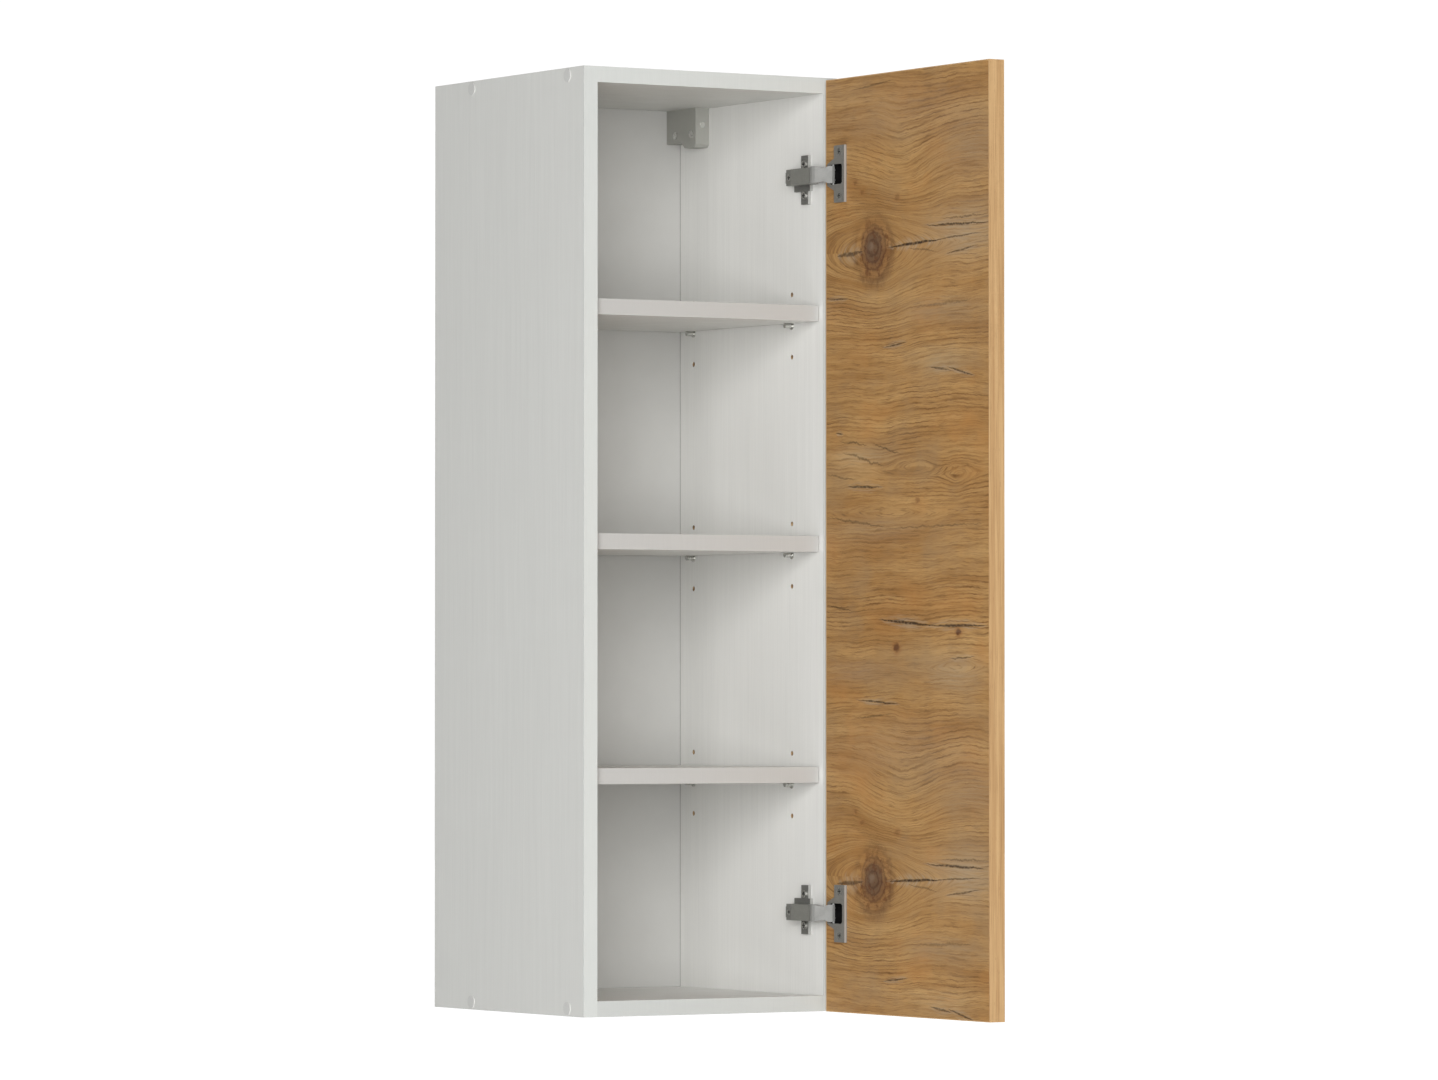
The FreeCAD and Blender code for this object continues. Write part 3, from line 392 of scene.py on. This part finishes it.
def add_clouds(nodes, tone, s, height, folded, lines):
    """Dull greyish clouds across the grain, warmer patches, and the placed light and grey clouds."""
    drift = streaks(nodes, s, 9, 17, height, 16, 4, 0.6)
    tone = nodes.mix(nodes.remap(drift, 0.50, 0.72, 0, 0.55), tone, (0.30, 0.20, 0.105))
    tone = nodes.mix(nodes.remap(drift, 0.30, 0.46, 0.55, 0), tone, (0.44, 0.208, 0.060))
    for centre, half_s, half_z, colour, strength in CLOUDS:
        mask = hump(nodes, s, folded, centre, half_s, half_z)
        mask = nodes.math("MULTIPLY", mask, nodes.remap(lines, 0.35, 0.6, strength, strength * 0.4))
        tone = nodes.mix(mask, tone, tuple(c * CLOUD_DEPTH for c in colour))
    return tone


def add_knots(nodes, tone, place, s, folded):
    """The main knot with its halo, torn patches, rings and eye, and the small round knots."""
    ragged = nodes.math("MULTIPLY_ADD", nodes.noise(place, 160, 4, 0.65), 0.012, -0.006)
    s_torn = nodes.math("ADD", s, ragged)
    z_torn = nodes.math("ADD", folded, nodes.math("MULTIPLY", ragged, 0.7))
    knot_s, knot_z = MAIN_KNOT
    halo = hump(nodes, s_torn, z_torn, (knot_s + 0.003, knot_z - 0.004), 0.034, 0.034)
    tone = nodes.mix(nodes.remap(halo, 0.25, 0.85, 0, 0.8), tone, (0.20, 0.088, 0.032))
    heart = hump(nodes, s_torn, z_torn, MAIN_KNOT, 0.021, 0.021)
    tone = nodes.mix(nodes.remap(heart, 0.3, 0.75, 0, 0.8), tone, (0.125, 0.075, 0.045))
    torn = nodes.remap(nodes.noise(place, 130, 4, 0.7), 0.50, 0.60, 0, 0.7)
    tone = nodes.mix(nodes.math("MULTIPLY", torn, nodes.remap(halo, 0.2, 0.6)), tone, (0.115, 0.042, 0.016))
    circles = nodes.remap(nodes.math("SINE", nodes.math("MULTIPLY", heart, 24)), 0, 1, 0, 0.75)
    tone = nodes.mix(nodes.math("MULTIPLY", circles, halo), tone, (0.075, 0.036, 0.018))
    eye = hump(nodes, s_torn, z_torn, (knot_s - 0.004, knot_z + 0.001), 0.007, 0.006)
    tone = nodes.mix(nodes.remap(eye, 0.35, 0.9, 0, 0.7), tone, (0.21, 0.14, 0.092))
    for centre, half_s, half_z, strength in KNOTS:
        spot = hump(nodes, s_torn, z_torn, centre, half_s, half_z)
        tone = nodes.mix(nodes.remap(spot, 0.04, 0.5, 0, 0.6 * strength), tone, (0.27, 0.105, 0.032))
        tone = nodes.mix(nodes.remap(spot, 0.45, 0.85, 0, strength), tone, (0.095, 0.036, 0.015))
    return tone


def add_cracks(nodes, tone, place, s, folded, bands):
    """Dark jagged cracks, with silvery grain beside the strong ones. Gives the tone and the cracks' mask."""
    wander = nodes.math("SUBTRACT", streaks(nodes, s, 75, 21, folded, 6, 6, 0.72), 0.5)
    dark = largest(nodes, [crack(nodes, s, folded, wander, *shape) for shape in CRACKS])
    beside = largest(nodes, [crack(nodes, s, folded, wander, start, end, 4.5 * half, wobble, darkness)
                             for start, end, half, wobble, darkness in CRACKS if darkness > STRONG_CRACK])
    silver = nodes.math("MULTIPLY", beside, nodes.remap(bands(30, 700, 51, 3, 0.6), 0.42, 0.6, 0, 0.6))
    tone = nodes.mix(silver, tone, (0.39, 0.30, 0.20))
    patchy = nodes.remap(nodes.noise(place, 240, 3), 0.3, 0.55, 0.45, 1.0)
    dark = nodes.math("MULTIPLY", dark, patchy)
    return nodes.mix(dark, tone, (0.036, 0.019, 0.010)), dark


def oak_decor():
    nodes = Nodes("oak_board")
    place = nodes.place()
    _, y, height = nodes.parts(place)
    s = nodes.math("SUBTRACT", HINGE_EDGE, y)
    above_seam = nodes.math("FLOORED_MODULO", nodes.math("SUBTRACT", height, SEAM), REPEAT)
    folded = nodes.math("ADD", above_seam, SEAM)
    flow = grain_flow(nodes, s, height, folded)

    def bands(along, up, layer, detail, roughness):
        return streaks(nodes, s, along, layer, flow, up, detail, roughness)

    lines = bands(14, 420, 9, 3, 0.62)
    pores = bands(45, 1700, 13, 2, 0.6)
    tone = growth_rings(nodes, bands, flow, lines, pores)
    tone = add_clouds(nodes, tone, s, height, folded, lines)
    tone = add_knots(nodes, tone, place, s, folded)
    tone, dark = add_cracks(nodes, tone, place, s, folded, bands)
    nodes.colour(tone)
    nodes.shader.inputs["Specular IOR Level"].default_value = 0.25
    nodes.rough(nodes.remap(lines, 0.3, 0.7, 0.46, 0.60))
    relief = nodes.math("SUBTRACT", nodes.math("MULTIPLY", pores, -0.4), nodes.math("MULTIPLY", dark, 0.8))
    nodes.bump(relief, 0.2, 0.0004)
    return nodes.material


def oak_edging():
    """Upright light oak grain of the door's edge bands."""
    nodes = Nodes("oak_edge")
    place = nodes.place()
    fine = nodes.noise(nodes.stretch(place, (1300, 1300, 16)), 1, 3, 0.6)
    broad = nodes.noise(nodes.stretch(place, (260, 260, 6)), 1, 3, 0.5)
    specks = nodes.noise(nodes.stretch(place, (1500, 1500, 90)), 1, 2, 0.6)
    tone = nodes.ramp(broad, [(0.35, (0.47, 0.28, 0.125)), (0.65, (0.57, 0.365, 0.175))])
    tone = nodes.mix(nodes.remap(fine, 0.5, 0.68, 0, 0.7), tone, (0.34, 0.185, 0.074))
    tone = nodes.mix(nodes.remap(specks, 0.64, 0.74, 0, 0.8), tone, (0.24, 0.12, 0.05))
    nodes.colour(tone)
    nodes.rough(nodes.remap(fine, 0.3, 0.7, 0.42, 0.55))
    nodes.bump(fine, 0.12, 0.0003)
    return nodes.material


# ---------------------------------------------------------------- metals, plastics, dowels
def metal(name, colour, rough, metallic=0.4, wear_level=0.25, edge_highlight=None, inside=None):
    """Pressed metal: brushing, small smudges and rubbed bright spots. Faces towards -Y, on the key light's
    side, can get a painted highlight colour. Past the X at which its hollow starts, the colour turns
    black as painted shade."""
    nodes = Nodes(name)
    place = nodes.place()
    brush = nodes.noise(nodes.stretch(place, (700, 700, 2600)), 1, 3)
    smudge = nodes.noise(place, 120, 5, 0.6)
    rubbed = nodes.remap(nodes.noise(place, 420, 4, 0.7), 0.60, 0.75, 0, wear_level)
    tone = nodes.remap(brush, 0.3, 0.7, 0.92, 1.06)
    base = nodes.mix(1.0, colour, nodes.join(tone, tone, tone), "MULTIPLY")
    base = nodes.mix(nodes.remap(smudge, 0.45, 0.75, 0, 0.18), base, tuple(c * 0.6 for c in colour))
    base = nodes.mix(rubbed, base, tuple(min(1.0, c * 1.6 + 0.05) for c in colour))
    if edge_highlight:
        # painted highlight: faces towards -Y, towards the key light, get a brighter colour
        facing = nodes.parts(nodes.add("ShaderNodeTexCoord").outputs["Normal"])[1]
        base = nodes.mix(nodes.math("LESS_THAN", facing, -0.7), base, edge_highlight)
    if inside is not None:
        # painted shade: the cup's hollow past this X is coloured near black
        hollow_shade = nodes.remap(nodes.parts(place)[0], inside - 0.0012, inside + 0.001)
        base = nodes.mix(hollow_shade, base, (0.012, 0.012, 0.012))
    nodes.colour(base)
    nodes.rough(nodes.remap(smudge, 0.3, 0.7, rough - 0.06, rough + 0.08))
    nodes.shader.inputs["Metallic"].default_value = metallic
    nodes.bump(brush, 0.1, 0.0002)
    return nodes.material


def plastic(name, colour, rough):
    """Moulded plastic with a fine spark-eroded texture."""
    nodes = Nodes(name)
    place = nodes.place()
    grain = nodes.noise(place, 2600, 3, 0.6)
    dust = nodes.noise(place, 70, 5, 0.6)
    tone = nodes.mix(nodes.remap(grain, 0.35, 0.65), tuple(c * 0.94 for c in colour), colour)
    nodes.colour(nodes.mix(nodes.remap(dust, 0.5, 0.8, 0, 0.12), tone, (0.5, 0.49, 0.46)))
    nodes.rough(nodes.remap(dust, 0.3, 0.7, rough - 0.05, rough + 0.08))
    nodes.bump(grain, 0.15, 0.0002)
    return nodes.material


def beech(name):
    nodes = Nodes(name)
    place = nodes.place()
    streak = nodes.noise(nodes.stretch(place, (60, 1400, 1400)), 1, 3)
    flecks = nodes.noise(nodes.stretch(place, (500, 2500, 2500)), 1, 2)
    tone = nodes.ramp(streak, [(0.3, (0.50, 0.34, 0.19)), (0.7, (0.66, 0.48, 0.30))])
    nodes.colour(nodes.mix(nodes.remap(flecks, 0.6, 0.75, 0, 0.5), tone, (0.36, 0.22, 0.11)))
    nodes.rough(nodes.remap(streak, 0.3, 0.7, 0.6, 0.75))
    nodes.bump(streak, 0.2, 0.0003)
    return nodes.material


def assign(material, name):
    slots = NODES[name].data.materials
    slots.clear()
    slots.append(material)


def level_faces(node):
    """Lower and upper face of a level board."""
    return low(node).z, high(node).z


END_LAYERS = [level_faces(f"{end}_panel") for end in ("bottom", "top")]
SHELF_LAYERS = [level_faces(f"{level}_shelf") for level in ("lower", "middle", "upper")]


def dress():
    between_sides = (0, SIDE[0])
    between_ends = (END_LAYERS[0][1], END_LAYERS[1][0])
    # One white decor in lit and shaded copies: the right side and the bottom are painted lighter, the top
    # painted darker and the shelves a little lighter than the left side, standing in for light and shade.
    left_side = melamine("white_side", (0.66, 0.663, 0.635), "X", [SIDE], between_sides)
    right_side = melamine("white_side_right_painted_light", (0.755, 0.753, 0.728), "X", [SIDE], between_sides)
    bottom = melamine("white_bottom_painted_light", (0.755, 0.75, 0.725), "Z", END_LAYERS, between_ends)
    top = melamine("white_top_painted_shade", (0.645, 0.643, 0.61), "Z", END_LAYERS, between_ends)
    shelves = melamine("white_shelf", (0.685, 0.677, 0.645), "Z", SHELF_LAYERS)
    # One white edging in shaded copies: the bottom edge band is painted darker as shade, and the shelf
    # edge band darker and warmer as painted shade with the door's brown bounce light.
    front_band = banding("white_edge", (0.575, 0.592, 0.572))
    bottom_band_painted_shade = banding("bottom_edge_painted_shade", (0.515, 0.53, 0.512))
    shelf_band_painted_shade = banding("shelf_edge", (0.468, 0.464, 0.448))
    oak = oak_decor()
    oak_edge = oak_edging()
    dark = metal("hinge_steel", (0.225, 0.225, 0.21), 0.45)
    # The bright edge colours below are painted highlights, and the cup's hollow gets painted shade.
    plate = metal("hinge_plate", (0.185, 0.185, 0.172), 0.45, edge_highlight=(0.40, 0.40, 0.38))
    cup = metal("hinge_cup", (0.252, 0.243, 0.222), 0.45, edge_highlight=(0.44, 0.43, 0.41),
                inside=DOOR_FACE)
    cover = metal("hinge_cover", (0.272, 0.272, 0.248), 0.45)
    link = metal("hinge_link", (0.237, 0.237, 0.226), 0.62, metallic=0.1, wear_level=0.1)
    inner = metal("hinge_inner_link", (0.14, 0.14, 0.14), 0.4)
    bright = metal("plated_steel", (0.62, 0.62, 0.59), 0.24, metallic=0.9)
    rivet = metal("rivet_steel", (0.45, 0.45, 0.44), 0.3, metallic=0.8)
    grey = plastic("hanger_plastic", (0.35, 0.35, 0.32), 0.5)
    hook = metal("hanger_hook", (0.42, 0.42, 0.40), 0.3, metallic=0.8)
    cap = plastic("cap_plastic", (0.60, 0.60, 0.58), 0.5)
    wood = beech("beech")
    back = hardboard("white_hardboard")
    hinge_kinds = {"arm_cover": cover, "hinge_plate": plate, "arm_pins": rivet, "outer_link": link,
                   "inner_link": inner, "cup_pin": rivet, "screws": bright, "cup": cup}
    single = {"back_panel": back, "carcass_screws": rivet, "shelf_pins": bright, "wooden_dowels": wood,
              "screw_caps": cap}
    for name in NODES:
        if name.startswith("door_"):
            choice = oak if name == "door_panel" else oak_edge
        elif "hinge" in name:
            choice = next((kind for end, kind in hinge_kinds.items() if name.endswith(end)), dark)
        elif "hanger" in name:
            choice = grey if name.endswith("housing") else hook if name.endswith("hook") else bright
        elif name.endswith("side_panel"):
            choice = left_side if name.startswith("left") else right_side
        elif name in ("top_panel", "bottom_panel"):
            choice = top if name == "top_panel" else bottom
        elif name.endswith("_shelf"):
            choice = shelves
        elif name.endswith("shelf_edge_band"):
            choice = shelf_band_painted_shade
        elif name.endswith("edge_band"):
            choice = bottom_band_painted_shade if name.startswith("bottom") else front_band
        else:
            choice = single[name]
        assign(choice, name)


dress()


# ---------------------------------------------------------------- painted recess shade on the screw heads
PLATE_SCREW_HEAD = 0.004
CUP_SCREW_HEAD = 0.0036
RECESS_REACH = 0.62
ADJUSTING_REACH = 0.7
RECESS_ARM = 0.27
RECESS_DEPTH = 0.0001


def cross_recess(name, centre, reach, body, material):
    """Dark cross sheet on a screw head that faces -X: painted shade of a driver recess."""
    arm = reach * RECESS_ARM
    corners = [(arm, arm), (arm, reach), (-arm, reach), (-arm, arm), (-reach, arm), (-reach, -arm),
               (-arm, -arm), (-arm, -reach), (arm, -reach), (arm, -arm), (reach, -arm), (reach, arm)]
    build = bmesh.new()
    for offset in (-RECESS_DEPTH, RECESS_DEPTH):
        for across, up in corners:
            build.verts.new(Vector(centre) + Vector((offset, across, up)))
    build.verts.ensure_lookup_table()
    count = len(corners)
    build.faces.new(build.verts[:count])
    build.faces.new(list(reversed(build.verts[count:])))
    for i in range(count):
        j = (i + 1) % count
        build.faces.new([build.verts[k] for k in (i, j, j + count, i + count)])
    bmesh.ops.recalc_face_normals(build, faces=build.faces)
    mesh = bpy.data.meshes.new(name)
    build.to_mesh(mesh)
    build.free()
    mesh.materials.append(material)
    item = bpy.data.objects.new(name, mesh)
    bpy.context.collection.objects.link(item)
    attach(item, body)


def screw_details():
    # near-black colour: painted shade inside the drive recesses
    recess = metal("recess_shadow", (0.035, 0.035, 0.033), 0.6, metallic=0.2)
    for side in ("lower", "upper"):
        for kind, head, body in (("plate_screws", PLATE_SCREW_HEAD, "carcass"),
                                 ("cup_screws", CUP_SCREW_HEAD, "door")):
            node = f"{side}_hinge_{kind}"
            near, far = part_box(node)
            for end, z in (("low", near.z + head), ("high", far.z - head)):
                centre = (near.x, (near.y + far.y) / 2, z)
                cross_recess(f"{node}_recess_{end}", centre, head * RECESS_REACH, body, recess)
        near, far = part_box(f"{side}_hinge_adjusting_screws")
        head = (far.z - near.z) / 2
        centre = (near.x, far.y - head, near.z + head)
        cross_recess(f"{side}_hinge_adjusting_recess", centre, head * ADJUSTING_REACH, "carcass", recess)


screw_details()


# ---------------------------------------------------------------- studio
AMBIENT = 0.170
BACKDROP = 1.05
FLOOR_LEVEL = -1.4
FLOOR_REACH = 60.0
GLOW_SPAN = (2.0, 9.0)
GLOW = (0.35, 1.0)


def area_light(name, at, towards, size, power):
    data = bpy.data.lights.new(name, "AREA")
    data.shape = "RECTANGLE"
    data.size, data.size_y = size
    data.energy = power
    item = bpy.data.objects.new(name, data)
    item.location = at
    item.rotation_mode = "QUATERNION"
    item.rotation_quaternion = (Vector(towards) - Vector(at)).to_track_quat("-Z", "Y")
    bpy.context.collection.objects.link(item)


def pale_floor():
    """Matt pale floor with a faint mottle. Beyond the lights' reach its glow brightens it to the backdrop's
    white, and the glow adds no light to the object."""
    nodes = Nodes("floor")
    place = nodes.place()
    mottle = nodes.noise(place, 3, 4)
    tone = nodes.remap(mottle, 0.3, 0.7, 0.83, 0.87)
    nodes.colour(nodes.join(tone, tone, tone))
    nodes.rough(nodes.remap(mottle, 0.3, 0.7, 0.55, 0.65))
    seen = nodes.add("ShaderNodeLightPath").outputs["Is Camera Ray"]
    nodes.link((1, 1, 1), nodes.shader.inputs["Emission Color"])
    distance = nodes.add("ShaderNodeVectorMath", operation="LENGTH")
    nodes.link(place, distance.inputs[0])
    glow = nodes.remap(distance.outputs["Value"], *GLOW_SPAN, *GLOW)
    nodes.link(nodes.math("MULTIPLY", seen, glow), nodes.shader.inputs["Emission Strength"])
    return nodes.material


def make_studio():
    world = bpy.data.worlds.new("studio")
    bpy.context.scene.world = world
    world.use_nodes = True
    tree = world.node_tree
    background = tree.nodes["Background"]
    path = tree.nodes.new("ShaderNodeLightPath")
    level = tree.nodes.new("ShaderNodeMapRange")
    level.inputs["To Min"].default_value = AMBIENT
    level.inputs["To Max"].default_value = BACKDROP
    tree.links.new(path.outputs["Is Camera Ray"], level.inputs["Value"])
    tree.links.new(level.outputs[0], background.inputs["Strength"])
    background.inputs["Color"].default_value = (1, 1, 1, 1)
    area_light("key_softbox", (-2.95, -4.4, 0.95), (0, 0, 0.45), (3.5, 3.0), 300)
    area_light("fill_softbox", (4.2, 3.6, 2.6), (0, 0, 0.2), (4.5, 3.5), 290)
    mesh = bpy.data.meshes.new("floor")
    corners = [(-1, -1), (1, -1), (1, 1), (-1, 1)]
    places = [(x * FLOOR_REACH, y * FLOOR_REACH, FLOOR_LEVEL) for x, y in corners]
    mesh.from_pydata(places, [], [(0, 1, 2, 3)])
    floor = bpy.data.objects.new("floor", mesh)
    bpy.context.collection.objects.link(floor)
    mesh.materials.append(pale_floor())


make_camera()
make_studio()
bpy.context.scene.view_settings.view_transform = "Standard"
